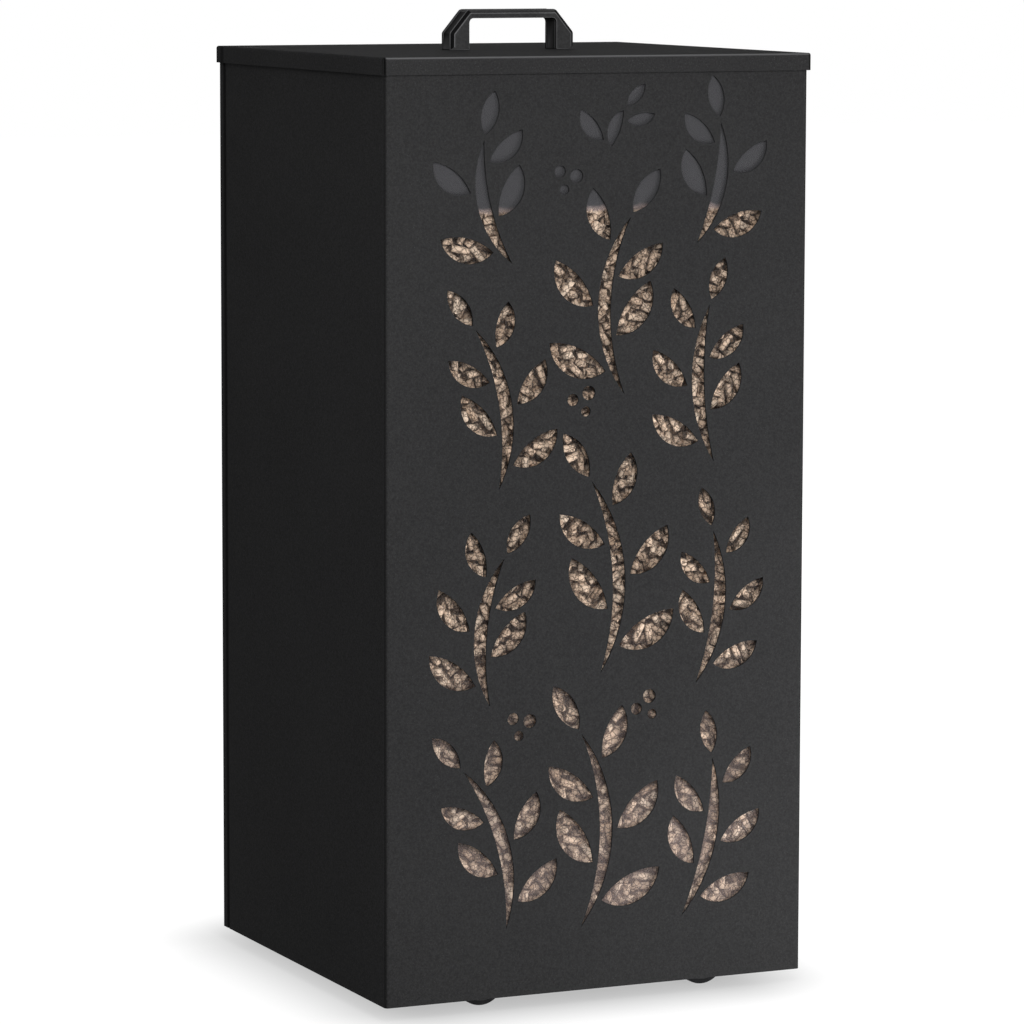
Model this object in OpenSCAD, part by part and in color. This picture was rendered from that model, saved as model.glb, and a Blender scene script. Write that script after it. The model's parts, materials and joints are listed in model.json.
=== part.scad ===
/* [Cabinet] */
// Outside width of the sheet-steel cabinet
cabinet_w = 360; // [320:5:440]
// Outside depth of the cabinet
cabinet_d = 344; // [300:2:440]
// Height from the panels' bottom edge to the top of the closed lid
cabinet_h = 730; // [600:10:860]
// Free height under the panels' bottom edge
ground_gap = 14; // [8:1:20]
// Thickness of all sheet steel
sheet_t = 1.5; // [1:0.1:2]
// Inside radius of the two front corner bends
corner_in_r = 1.5; // [1:0.5:4]
// Inside radius of every other bend
bend_in_r = 0.5; // [0.3:0.1:1.5]
// Width of the rear seam's returns and of the rim strips, with the wall's sheet
return_w = 12; // [11:1:16]
// Width of the front panel's returns, which stop short of the window's studs
front_return_w = 9; // [8:0.5:9]
// Depth of the back panel's wrap round the rear corners
wrap_d = 12; // [10:1:18]

/* [Rear seam] */
// Diameter of the blind rivets
rivet_d = 3.2; // [2.4:0.2:4]
// Rivets in each rear seam
rivet_count = 7; // [3:1:12]
// Distance from a seam's end to its first rivet
rivet_end = 45; // [25:5:90]

/* [Floor] */
// Depth of the floor panel's turned-down edges
floor_flange = 16; // [8:1:20]
// Length cut off each turned-down edge at the corners
floor_notch = 8; // [6:1:20]

/* [Window] */
// Thickness of the clear pane
pane_t = 3; // [2:0.5:5]
// Thickness of the foam tape in front of the pane
seal_t = 1; // [0.5:0.5:2]
// Width of the foam tape
seal_w = 6; // [4:1:10]
// Free height above the pane
pane_top_gap = 2.5; // [1:0.5:6]
// Play at each side edge of the pane
pane_side_gap = 0.5; // [0.3:0.1:1.5]
// Width of the rails' foot beside the web
rail_foot = 9; // [9:0.5:14]
// Width of the rails' lip over the pane
rail_lip = 10; // [6:1:16]
// Welded studs on each rail
stud_count = 5; // [3:1:8]
// Distance from a rail's end to its first stud
stud_end = 40; // [20:5:80]
// Diameter of the welded studs
stud_d = 4; // [3:1:4]
// Length of the welded studs
stud_l = 8; // [7:0.5:12]
// Width across the flats of the stud nuts
stud_nut_af = 7; // [5.5:0.5:7]
// Height of the stud nuts
stud_nut_h = 3.2; // [2.4:0.2:4]
// Height of the rubber blocks under the pane
block_h = 2.5; // [1.5:0.5:5]
// Length of the rubber blocks under the pane
block_l = 40; // [20:5:80]
// Distance from the pane's side edge to a block's middle
block_inset = 60; // [50:5:100]

/* [Stencil] */
// Bare sheet between the cut-outs and the window's lips and tape
stencil_margin = 10; // [6:1:20]
// Widest part of a cut stem
stem_w = 11; // [8:0.5:12]
// Bare sheet between a stem and its leaves
stencil_web = 4; // [3:0.5:6]
// Width of a leaf as a share of its length
leaf_ratio = 0.42; // [0.34:0.02:0.46]
// Angle between a leaf and its stem
leaf_angle = 44; // [35:1:50]
// Diameter of the largest berry
berry_d = 11; // [8:0.5:12]

/* [Pellets] */
// Depth of pellets against the cabinet walls
fill_h = 580; // [100:10:580]
// Extra height of the heap at its middle
fill_crown = 12; // [4:1:20]
// Clearance round the pellets
fill_gap = 0.3; // [0.2:0.1:1]

/* [Lid] */
// Play between the lid's skirt and the cabinet
lid_gap = 0.7; // [0.5:0.1:2]
// Height of the lid's skirt, with the lid's sheet
skirt_h = 13.5; // [10:0.5:24]
// Thickness of the rubber pads under the lid
pad_t = 1.5; // [1:0.5:4]
// Diameter of the rubber pads
pad_d = 9; // [6:0.5:9]
// Distance from the cabinet's front or back face to a pad
pad_inset = 32; // [20:1:60]

/* [Handle] */
// Length of the handle along the cabinet's width
handle_l = 108; // [90:1:160]
// Width of the handle from front to back
handle_w = 22; // [14:1:30]
// Height of the handle above the lid
handle_h = 32; // [26:1:45]
// Thickness of the handle's bar
handle_bar = 7; // [5:0.5:10]
// Width of a handle's leg at the lid
handle_leg = 16; // [14:0.5:20]
// Height of the upright stretch below the handle's shoulder
shoulder_h = 13.5; // [8:0.5:16]
// Distance that the shoulder leans in
shoulder_in = 15.5; // [8:0.5:18]
// Diameter of the handle's screws
handle_screw_d = 5; // [4:1:6]
// Depth of the screws in the handle
handle_screw_in = 12; // [8:1:14]
// Diameter of the handle's washers
handle_washer_d = 15; // [12:1:20]
// Thickness of the handle's washers
handle_washer_t = 1; // [0.8:0.2:1.6]

/* [Castors] */
// Diameter of the castor wheels
wheel_d = 40; // [32:1:50]
// Width of the castor wheels at the hub
wheel_w = 18; // [14:1:20]
// Width of the tyres
tyre_w = 17; // [12:1:18]
// Thickness of the tyres
tyre_t = 4; // [3:0.5:6]
// Distance from the swivel axis to the axle
castor_trail = 15; // [12:1:17]
// Distance from the cabinet's side to a swivel axis
castor_inset_x = 83; // [60:1:110]
// Distance from the cabinet's front or back to a swivel axis
castor_inset_y = 46; // [46:1:80]
// Side of the square castor plates
plate_side = 50; // [50:1:56]
// Distance between the castor plates' holes
plate_pitch = 38; // [38:1:42]
// Thickness of the castor plates
plate_t = 2; // [1.5:0.5:3]
// Thickness of the castor forks
fork_t = 2; // [1.5:0.5:3]
// Height of the swivel race
race_t = 2; // [1.5:0.5:4]
// Diameter of the swivel race
race_d = 26; // [20:1:28]
// Diameter of the king pins
king_d = 8; // [6:0.5:9]
// Diameter of the axles
axle_d = 6; // [5:0.5:8]
// Free height between a tyre and the fork above it
wheel_gap = 1.9; // [1.9:0.1:5]
// Diameter of the castor screws
castor_screw_d = 5; // [4:1:5]
// Width across the flats of the castor nuts
castor_nut_af = 8; // [7:0.5:8]
// Height of the castor nuts
castor_nut_h = 4; // [3:0.5:4]

/* [Hidden] */
$fn = 64;
coat = [0.17, 0.17, 0.175];
black_plastic = [0.11, 0.11, 0.115];
black_rubber = [0.08, 0.08, 0.08];
zinc = [0.70, 0.71, 0.72];
clear_glass = [0.80, 0.85, 0.85, 0.35];
pellet_wood = [0.62, 0.49, 0.37];

// Clearances: a screw or rivet in its hole, a turning pin in its bore, and flat faces that turn
hole_gap = 0.25;
bore_gap = 0.05;
turn_gap = 0.1;
wheel_side_gap = 0.3;

// Bends and the cabinet's planes
corner_r = corner_in_r + sheet_t;
edge_r = bend_in_r + sheet_t;
x_out = cabinet_w / 2;
y_out = cabinet_d / 2;
x_in = x_out - sheet_t;
y_in = y_out - sheet_t;
z_edge = ground_gap;
z_lid_top = ground_gap + cabinet_h;
z_lid_under = z_lid_top - sheet_t;
z_rim = z_lid_under - pad_t;
wall_h = z_rim - z_edge;
z_strip = z_rim - sheet_t;
// Relief between two strips that meet at a corner
relief = 1;
// The returns of the side and back panels meet on this plane
y_seam = y_out - wrap_d;
x_return = x_out - return_w;

// Rear seam rivets
rivet_x = x_out - (return_w + edge_r) / 2;
rivet_head_d = 2 * rivet_d;
rivet_head_h = 1;
rivet_tail_d = 1.6 * rivet_d;
rivet_tail_h = 1.5;
rivet_step = (wall_h - 2 * rivet_end) / (rivet_count - 1);

// Castor stack, from the floor up
wheel_r = wheel_d / 2;
z_fork_under = wheel_d + wheel_gap;
z_fork_top = z_fork_under + fork_t;
z_plate_under = z_fork_top + turn_gap + race_t;
z_floor_under = z_plate_under + plate_t;
z_floor_top = z_floor_under + sheet_t;
fork_in = wheel_w / 2 + wheel_side_gap;
fork_out = fork_in + fork_t;
fork_r = 14;
fork_front = -9;
fork_back = 17;
boss_r = axle_d / 2 + 3.5;
king_head_d = king_d + 5;
king_head_h = 1.8;
axle_head_d = axle_d + 4;
axle_head_h = 2;
hub_r = wheel_r - tyre_t;
castor_x = x_out - castor_inset_x;
castor_y = y_out - castor_inset_y;
castor_fl = [-castor_x, -castor_y, 0];
castor_fr = [castor_x, -castor_y, 0];
castor_bl = [-castor_x, castor_y, 0];
castor_br = [castor_x, castor_y, 0];
castors = [castor_fl, castor_fr, castor_bl, castor_br];
screw_head_r = 0.9 * castor_screw_d;
screw_head_h = 0.5 * castor_screw_d;
screw_tip = 0.5;

// Window: the rail's foot clears the front corner's bend, and the web stands at the pane's edge
bend_gap = 0.5;
x_foot = x_in - corner_in_r - bend_gap;
x_web = x_foot - rail_foot;
x_pane = x_web - sheet_t - pane_side_gap;
x_lip = x_web - sheet_t - rail_lip;
stud_x = x_foot - rail_foot / 2;
y_pane = -y_in + seal_t;
y_pane_back = y_pane + pane_t;
z_pane = z_floor_top + block_h;
z_pane_top = z_strip - pane_top_gap;
rail_end_gap = 0.5;
z_rail = z_floor_top + rail_end_gap;
rail_h = z_pane_top - z_rail;
stud_step = (rail_h - 2 * stud_end) / (stud_count - 1);
block_x = x_pane - block_inset;

// Stencil: the design is drawn on its own field and set into the clear part of the window
field_w = 292;
field_h = 670;
sight_w = 2 * (x_lip - stencil_margin);
sight_gap = 1.5;
z_sight = z_pane + seal_w + sight_gap;
sight_h = z_pane_top - seal_w - sight_gap - z_sight;
stencil_k = min(sight_w / field_w, sight_h / field_h);
berry_gap = 3.5;
berry_taper = 0.14;
// Leaves: places of the first and last along a stem, loss of size on the way, bow, and share at the tip
leaf_first = 0.16;
leaf_last = 0.84;
leaf_taper = 0.28;
leaf_bow = 0.08;
tip_share = 0.72;
// Stems: base x, base z, heading, length, bow, leaves, leaf length
SPRIGS = [
    [-14, 4, 90, 154, -22, 5, 58],
    [-78, 8, 106, 132, -16, 5, 48],
    [74, 6, 78, 128, -12, 5, 48],
    [-92, 184, 84, 116, 14, 5, 49],
    [2, 204, 93, 152, -20, 5, 57],
    [85, 191, 83, 122, -13, 5, 44],
    [-85, 352, 99, 126, -16, 5, 48],
    [22, 422, 88, 138, 20, 5, 56],
    [100, 366, 92, 124, 12, 5, 48],
    [-74, 526, 104, 98, 12, 4, 48],
    [10, 614, 70, 30, 3, 2, 32],
    [84, 538, 78, 96, -10, 4, 46]
];
// Berry groups: middle x, middle z, turn
BERRIES = [
    [-66, 168, 20],
    [42, 176, 70],
    [-14, 418, 50],
    [-28, 590, 15]
];

// Heap of pellets
y_fill_front = y_pane_back + fill_gap;
y_fill_step = -y_in + stud_l + fill_gap;
y_fill_seam = y_seam - sheet_t - rivet_head_h - fill_gap;
x_fill = x_in - fill_gap;
x_fill_lip = x_lip - fill_gap;
x_fill_return = x_return - fill_gap;
y_fill_back = y_in - fill_gap;
z_fill = z_floor_top;

// Lid
x_lid = x_out + lid_gap + sheet_t;
y_lid = y_out + lid_gap + sheet_t;
pad_x = x_out - (return_w + edge_r) / 2;
pad_y = y_out - pad_inset;
handle_screw_x = (handle_l - handle_leg) / 2;
handle_head_r = 0.9 * handle_screw_d;
handle_head_h = 2;

// Quarter of a bend, seen along it, in the first quadrant
module bend_profile(r) {
    intersection() {
        difference() {
            circle(r);
            circle(r - sheet_t);
        }
        square(r);
    }
}

// Bent strip centred along X, its outer corner at y = 0 and z = 0: one leg runs to +Y, one hangs to -Z
module folded_strip(length, across, down) {
    rotate([90, 0, 90]) translate([0, 0, -length / 2]) linear_extrude(length) {
        translate([edge_r, -edge_r]) rotate(90) bend_profile(edge_r);
        if (across > edge_r) translate([edge_r, -sheet_t]) square([across - edge_r, sheet_t]);
        if (down > edge_r) translate([0, -down]) square([sheet_t, down - edge_r]);
    }
}

// Upright bend at a corner, its outer corner at the origin, turned to the quadrant of the corner
module upright_bend(r, turn) {
    rotate(turn) translate([-r, -r, 0]) linear_extrude(wall_h) bend_profile(r);
}

module on_both_sides() {
    children();
    mirror([1, 0, 0]) children();
}

// Opening between two arcs that share their tips at x = 0 and x = length
module blade(length, width, bow) {
    high = bow + width / 2;
    low = bow - width / 2;
    high_r = (pow(length / 2, 2) + pow(high, 2)) / (2 * high);
    low_r = (pow(length / 2, 2) + pow(low, 2)) / (2 * abs(low));
    if (low < 0) intersection() {
        translate([length / 2, high - high_r]) circle(high_r, $fn = 240);
        translate([length / 2, low + low_r]) circle(low_r, $fn = 240);
    }
    else difference() {
        translate([length / 2, high - high_r]) circle(high_r, $fn = 240);
        translate([length / 2, low - low_r]) circle(low_r, $fn = 240);
    }
}

// Place and heading at share t of a stem that bows to +Y
function arc_r(length, bow) = (pow(length / 2, 2) + pow(bow, 2)) / (2 * bow);
function arc_turn(length, bow, t) = asin(length / 2 / arc_r(length, bow)) * (2 * t - 1);
function stem_half(t) = stem_w / 2 * (1 - pow(2 * t - 1, 2));

// Stem with leaves by turns on its two sides and one at its tip
module sprig(length, bow, leaves, leaf_l) {
    bend = abs(bow);
    r = arc_r(length, bend);
    mirror([0, bow < 0 ? 1 : 0, 0]) {
        blade(length, stem_w, bend);
        for (i = [0 : leaves - 1]) {
            t = leaf_first + (leaf_last - leaf_first) * i / (leaves - 1);
            turn = arc_turn(length, bend, t);
            side = i % 2 == 0 ? 1 : -1;
            size = leaf_l * (1 - leaf_taper * t);
            translate([length / 2 + r * sin(turn), bend - r + r * cos(turn)]) rotate(-turn)
                mirror([0, side < 0 ? 1 : 0, 0]) translate([0, stem_half(t) + stencil_web])
                rotate(leaf_angle) blade(size, leaf_ratio * size, leaf_bow * size);
        }
        translate([length, 0]) rotate(-arc_turn(length, bend, 1)) translate([stencil_web, 0])
            blade(tip_share * leaf_l, tip_share * leaf_l * leaf_ratio, 0);
    }
}

module berries() {
    for (i = [0 : 2]) rotate(120 * i) translate([(berry_d + berry_gap) / sqrt(3), 0])
        circle(berry_d / 2 * (1 - berry_taper * i));
}

module stencil() {
    scale(stencil_k) {
        for (s = SPRIGS) translate([s[0], s[1]]) rotate(s[2]) sprig(s[3], s[4], s[5], s[6]);
        for (b = BERRIES) translate([b[0], b[1]]) rotate(b[2]) berries();
    }
}

module front_panel() {
    color(coat) difference() {
        union() {
            translate([-(x_out - corner_r), -y_out, z_edge])
                cube([2 * (x_out - corner_r), sheet_t, wall_h]);
            on_both_sides() {
                translate([x_out, -y_out, z_edge]) mirror([0, 1, 0]) upright_bend(corner_r, 0);
                translate([x_in, -y_out + corner_r, z_edge])
                    cube([sheet_t, front_return_w - corner_r, wall_h]);
            }
        }
        translate([0, -y_out - 1, z_sight + (sight_h - stencil_k * field_h) / 2]) rotate([90, 0, 0])
            mirror([0, 0, 1]) linear_extrude(sheet_t + 2) stencil();
    }
}

// Right-hand side panel: flat wall and rear bend
module side_panel() {
    wall_front = -y_out + front_return_w;
    translate([x_in, wall_front, z_edge]) cube([sheet_t, y_seam - edge_r - wall_front, wall_h]);
    translate([x_out, y_seam, z_edge]) upright_bend(edge_r, 0);
}

// Return behind the right-hand panel's rear bend, riveted to the back panel
module side_return() {
    difference() {
        translate([x_return, y_seam - sheet_t, z_edge]) cube([return_w - edge_r, sheet_t, wall_h]);
        seam_holes();
    }
}

// Holes of one rear seam, through both returns
module seam_holes() {
    for (i = [0 : rivet_count - 1])
        translate([rivet_x, y_seam - sheet_t - 1, z_edge + rivet_end + i * rivet_step])
            rotate([-90, 0, 0]) cylinder(h = 2 * sheet_t + 2, r = rivet_d / 2 + bore_gap);
}

module left_panel() { color(coat) mirror([1, 0, 0]) side_panel(); }
module right_panel() { color(coat) side_panel(); }
module seam_return_left() { color(coat) mirror([1, 0, 0]) side_return(); }
module seam_return_right() { color(coat) side_return(); }

module back_panel() {
    flange = wrap_d - 2 * edge_r;
    color(coat) difference() {
        union() {
            translate([-(x_out - edge_r), y_in, z_edge])
                cube([2 * (x_out - edge_r), sheet_t, wall_h]);
            on_both_sides() {
                translate([x_out, y_out, z_edge]) upright_bend(edge_r, 0);
                translate([x_in, y_seam + edge_r, z_edge]) cube([sheet_t, flange, wall_h]);
                translate([x_out, y_seam, z_edge]) mirror([0, 1, 0]) upright_bend(edge_r, 0);
                translate([x_return, y_seam, z_edge]) cube([return_w - edge_r, sheet_t, wall_h]);
            }
        }
        on_both_sides() seam_holes();
    }
}

// Flat strips welded inside the walls' top edge: they stiffen it and carry the lid's pads
module rim_front() {
    color(coat) translate([-x_foot, -y_in, z_strip]) cube([2 * x_foot, return_w - sheet_t, sheet_t]);
}

module side_rim() {
    y_start = -y_out + return_w + relief;
    translate([x_return, y_start, z_strip])
        cube([return_w - sheet_t, y_seam - sheet_t - y_start, sheet_t]);
}

module rim_left() { color(coat) mirror([1, 0, 0]) side_rim(); }
module rim_right() { color(coat) side_rim(); }

module rim_back() {
    x_end = x_return - relief;
    color(coat) translate([-x_end, y_seam, z_strip]) cube([2 * x_end, y_in - y_seam, sheet_t]);
}

// Blind rivets: dome inside the bin, set tail behind the returns
module seam_rivets() {
    color(zinc) on_both_sides() for (i = [0 : rivet_count - 1])
        translate([rivet_x, y_seam, z_edge + rivet_end + i * rivet_step]) rotate([-90, 0, 0]) {
            translate([0, 0, -sheet_t - rivet_head_h]) cylinder(h = rivet_head_h, r = rivet_head_d / 2);
            translate([0, 0, -sheet_t]) cylinder(h = 2 * sheet_t, r = rivet_d / 2);
            translate([0, 0, sheet_t]) cylinder(h = rivet_tail_h, r = rivet_tail_d / 2);
        }
}

// Floor tray, notched at the rear round the seam returns
module floor_panel() {
    x_front = x_foot;
    y_front = -y_in;
    y_notch = y_seam - sheet_t - fill_gap;
    x_notch = x_return - fill_gap;
    side_l = y_notch + y_in - 2 * floor_notch;
    color(coat) difference() {
        union() {
            translate([-(x_in - edge_r), y_front + edge_r, z_floor_under])
                cube([2 * (x_in - edge_r), y_notch - y_front - edge_r, sheet_t]);
            translate([-x_notch, y_notch, z_floor_under])
                cube([2 * x_notch, y_in - edge_r - y_notch, sheet_t]);
            translate([0, y_front, z_floor_top])
                folded_strip(2 * (x_front - floor_notch), edge_r, floor_flange);
            translate([0, y_in, z_floor_top]) rotate(180)
                folded_strip(2 * (x_notch - floor_notch), edge_r, floor_flange);
            on_both_sides() translate([x_in, (y_notch - y_in) / 2, z_floor_top]) rotate(90)
                folded_strip(side_l, edge_r, floor_flange);
        }
        castor_screw_places() translate([0, 0, z_floor_under - 1])
            cylinder(h = sheet_t + 2, r = castor_screw_d / 2 + hole_gap);
    }
}

module window_pane() {
    color(clear_glass) translate([-x_pane, y_pane, z_pane])
        cube([2 * x_pane, pane_t, z_pane_top - z_pane]);
}

module window_seal() {
    color(black_rubber) difference() {
        translate([-x_pane, -y_in, z_pane]) cube([2 * x_pane, seal_t, z_pane_top - z_pane]);
        translate([-(x_pane - seal_w), -y_in - 1, z_pane + seal_w])
            cube([2 * (x_pane - seal_w), seal_t + 2, z_pane_top - z_pane - 2 * seal_w]);
    }
}

// Right-hand rail: foot on the front panel, web beside the pane, lip behind the pane
module window_rail() {
    difference() {
        union() {
            translate([x_web, -y_in, z_rail]) cube([rail_foot, sheet_t, rail_h]);
            translate([x_web - sheet_t, -y_in, z_rail])
                cube([sheet_t, seal_t + pane_t + sheet_t, rail_h]);
            translate([x_lip, y_pane_back, z_rail]) cube([rail_lip, sheet_t, rail_h]);
        }
        stud_places() translate([0, 0, -1]) cylinder(h = sheet_t + 2, r = stud_d / 2 + hole_gap);
    }
}

module window_rail_left() { color(coat) mirror([1, 0, 0]) window_rail(); }
module window_rail_right() { color(coat) window_rail(); }

// Places of the right-hand studs: z runs from the front panel's inner face into the bin
module stud_places() {
    for (i = [0 : stud_count - 1])
        translate([stud_x, -y_in, z_rail + stud_end + i * stud_step]) rotate([-90, 0, 0]) children();
}

module window_studs() {
    color(zinc) on_both_sides() stud_places() cylinder(h = stud_l, r = stud_d / 2);
}

module window_nuts() {
    color(zinc) on_both_sides() stud_places() translate([0, 0, sheet_t]) difference() {
        rotate(30) cylinder(h = stud_nut_h, r = stud_nut_af / sqrt(3), $fn = 6);
        translate([0, 0, -1]) cylinder(h = stud_nut_h + 2, r = stud_d / 2 + bore_gap);
    }
}

module pane_blocks() {
    color(black_rubber) on_both_sides() translate([block_x - block_l / 2, -y_in, z_floor_top])
        cube([block_l, seal_t + pane_t, block_h]);
}

// Wood pellets up to the fill line, stepped round the window rails and the rear seams
module pellet_fill() {
    side_r = (pow(x_fill, 2) + pow(fill_crown, 2)) / (2 * fill_crown);
    depth_r = (pow(y_fill_back, 2) + pow(fill_crown, 2)) / (2 * fill_crown);
    z_crown = z_floor_top + fill_h + fill_crown;
    color(pellet_wood) difference() {
        intersection() {
            translate([0, 0, z_fill]) linear_extrude(fill_h + fill_crown + 1) fill_plan();
            translate([0, 0, z_crown - side_r]) rotate([90, 0, 0])
                cylinder(h = 2 * cabinet_d, r = side_r, center = true, $fn = 240);
            translate([0, 0, z_crown - depth_r]) rotate([0, 90, 0])
                cylinder(h = 2 * cabinet_w, r = depth_r, center = true, $fn = 240);
        }
        castor_screw_places() translate([0, 0, z_floor_top - 1])
            cylinder(h = screw_head_h + fill_gap + 1, r = screw_head_r + fill_gap);
    }
}

module fill_plan() {
    half = [
        [x_fill_lip, y_fill_front], [x_fill_lip, y_fill_step], [x_fill, y_fill_step],
        [x_fill, y_fill_seam], [x_fill_return, y_fill_seam], [x_fill_return, y_fill_back]
    ];
    polygon(concat(half, [for (i = [len(half) - 1 : -1 : 0]) [-half[i][0], half[i][1]]]));
}

module castor_screw_places() {
    for (c = castors, sx = [-1, 1], sy = [-1, 1])
        translate([c[0] + sx * plate_pitch / 2, c[1] + sy * plate_pitch / 2, 0]) children();
}

// Screws from inside the bin: head on the floor, tip just below the nut
module castor_screws() {
    z_tip = z_plate_under - castor_nut_h - screw_tip;
    color(zinc) castor_screw_places() {
        translate([0, 0, z_tip]) cylinder(h = z_floor_top - z_tip, r = castor_screw_d / 2);
        translate([0, 0, z_floor_top]) cylinder(h = screw_head_h, r = screw_head_r);
    }
}

module castor_nuts() {
    color(zinc) castor_screw_places() translate([0, 0, z_plate_under - castor_nut_h]) difference() {
        cylinder(h = castor_nut_h, r = castor_nut_af / sqrt(3), $fn = 6);
        translate([0, 0, -1]) cylinder(h = castor_nut_h + 2, r = castor_screw_d / 2 + bore_gap);
    }
}

// Folded tray with open corners
module lid_panel() {
    flat_x = x_lid - edge_r;
    flat_y = y_lid - edge_r;
    color(coat) difference() {
        union() {
            translate([-flat_x, -flat_y, z_lid_under]) cube([2 * flat_x, 2 * flat_y, sheet_t]);
            for (turn = [0, 180]) rotate(turn) translate([0, -y_lid, z_lid_top])
                folded_strip(2 * flat_x, edge_r, skirt_h);
            for (turn = [90, 270]) rotate(turn) translate([0, -x_lid, z_lid_top])
                folded_strip(2 * flat_y, edge_r, skirt_h);
        }
        handle_screw_places() translate([0, 0, z_lid_under - 1])
            cylinder(h = sheet_t + 2, r = handle_screw_d / 2 + hole_gap);
    }
}

module handle_screw_places() {
    on_both_sides() translate([handle_screw_x, 0, 0]) children();
}

// Bridge handle with leaning shoulders
module lid_handle() {
    half = [
        [handle_l / 2 - handle_leg, handle_h - handle_bar], [handle_l / 2 - handle_leg, 0],
        [handle_l / 2, 0], [handle_l / 2, shoulder_h], [handle_l / 2 - shoulder_in, handle_h]
    ];
    color(black_plastic) difference() {
        translate([0, handle_w / 2, z_lid_top]) rotate([90, 0, 0]) linear_extrude(handle_w)
            polygon(concat(half, [for (i = [len(half) - 1 : -1 : 0]) [-half[i][0], half[i][1]]]));
        handle_screw_places() translate([0, 0, z_lid_top - 1])
            cylinder(h = handle_screw_in + 2, r = handle_screw_d / 2 + bore_gap);
    }
}

module handle_washers() {
    color(zinc) handle_screw_places() translate([0, 0, z_lid_under - handle_washer_t]) difference() {
        cylinder(h = handle_washer_t, r = handle_washer_d / 2);
        translate([0, 0, -1]) cylinder(h = handle_washer_t + 2, r = handle_screw_d / 2 + hole_gap);
    }
}

module handle_screws() {
    z_head = z_lid_under - handle_washer_t;
    color(zinc) handle_screw_places() {
        translate([0, 0, z_head - handle_head_h]) cylinder(h = handle_head_h, r = handle_head_r);
        translate([0, 0, z_head]) cylinder(h = z_lid_top + handle_screw_in - z_head, r = handle_screw_d / 2);
    }
}

module lid_pads() {
    color(black_rubber) for (sx = [-1, 1], sy = [-1, 1])
        translate([sx * pad_x, sy * pad_y, z_rim]) cylinder(h = pad_t, r = pad_d / 2);
}

module castor_plate(at) {
    side = plate_side / 2;
    cut = 5;
    color(zinc) translate(at) translate([0, 0, z_plate_under]) difference() {
        linear_extrude(plate_t) polygon([
            [side, side - cut], [side - cut, side], [-side + cut, side], [-side, side - cut],
            [-side, -side + cut], [-side + cut, -side], [side - cut, -side], [side, -side + cut]
        ]);
        translate([0, 0, -1]) cylinder(h = plate_t + 2, r = king_d / 2 + bore_gap);
        for (sx = [-1, 1], sy = [-1, 1])
            translate([sx * plate_pitch / 2, sy * plate_pitch / 2, -1])
                cylinder(h = plate_t + 2, r = castor_screw_d / 2 + hole_gap);
    }
}

// Pin that hangs the fork: riveted in the plate, its head under the fork
module king_pin(at) {
    z_head = z_fork_under - turn_gap;
    color(zinc) translate(at) {
        translate([0, 0, z_head - king_head_h]) cylinder(h = king_head_h, r = king_head_d / 2);
        translate([0, 0, z_head]) cylinder(h = z_floor_under - z_head, r = king_d / 2);
    }
}

// Ball race between plate and fork, with a rounded rim
module swivel_race(at) {
    color(zinc) translate(at) translate([0, 0, z_plate_under - race_t / 2]) rotate_extrude() {
        translate([king_d / 2 + bore_gap, -race_t / 2])
            square([race_d / 2 - race_t / 2 - king_d / 2 - bore_gap, race_t]);
        translate([race_d / 2 - race_t / 2, 0]) intersection() {
            circle(race_t / 2);
            translate([0, -race_t]) square([race_t, 2 * race_t]);
        }
    }
}

module castor_fork(at) {
    color(zinc) translate(at) difference() {
        union() {
            translate([0, 0, z_fork_under]) cylinder(h = fork_t, r = fork_r);
            translate([fork_front, -fork_out, z_fork_under])
                cube([fork_back - fork_front, 2 * fork_out, fork_t]);
            for (side = [-fork_in, fork_out]) translate([0, side, 0]) rotate([90, 0, 0])
                linear_extrude(fork_t) fork_leg();
        }
        translate([0, 0, z_fork_under - 1]) cylinder(h = fork_t + 2, r = king_d / 2 + bore_gap);
        translate([castor_trail, fork_out + 1, wheel_r]) rotate([90, 0, 0])
            cylinder(h = 2 * fork_out + 2, r = axle_d / 2 + bore_gap);
    }
}

module fork_leg() {
    polygon([
        [fork_front, z_fork_top], [fork_back, z_fork_top],
        [castor_trail + boss_r, wheel_r], [castor_trail - boss_r, wheel_r]
    ]);
    translate([castor_trail, wheel_r]) circle(boss_r);
}

// Riveted axle with a head outside each leg
module castor_axle(at) {
    color(zinc) translate(at) translate([castor_trail, 0, wheel_r]) rotate([90, 0, 0]) {
        cylinder(h = 2 * fork_out, r = axle_d / 2, center = true);
        for (end = [-fork_out - axle_head_h, fork_out]) translate([0, 0, end])
            cylinder(h = axle_head_h, r = axle_head_d / 2);
    }
}

// Hub: boss, web and rim in section
module castor_wheel(at) {
    bore_r = axle_d / 2 + bore_gap;
    boss = bore_r + 4;
    rim = hub_r - 3;
    color(black_plastic) translate(at) translate([castor_trail, 0, wheel_r]) rotate([90, 0, 0])
        rotate_extrude() polygon([
            [bore_r, -wheel_w / 2], [boss, -wheel_w / 2], [boss, -tyre_w / 4], [rim, -tyre_w / 4],
            [rim, -tyre_w / 2], [hub_r, -tyre_w / 2], [hub_r, tyre_w / 2], [rim, tyre_w / 2],
            [rim, tyre_w / 4], [boss, tyre_w / 4], [boss, wheel_w / 2], [bore_r, wheel_w / 2]
        ]);
}

// Tyre with rounded shoulders
module castor_tyre(at) {
    shoulder = tyre_t / 2;
    color(black_rubber) translate(at) translate([castor_trail, 0, wheel_r]) rotate([90, 0, 0])
        rotate_extrude() {
            translate([hub_r, -tyre_w / 2]) square([tyre_t - shoulder, tyre_w]);
            translate([hub_r, -tyre_w / 2 + shoulder]) square([tyre_t, tyre_w - 2 * shoulder]);
            for (side = [-1, 1]) translate([wheel_r - shoulder, side * (tyre_w / 2 - shoulder)])
                circle(shoulder);
        }
}

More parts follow.
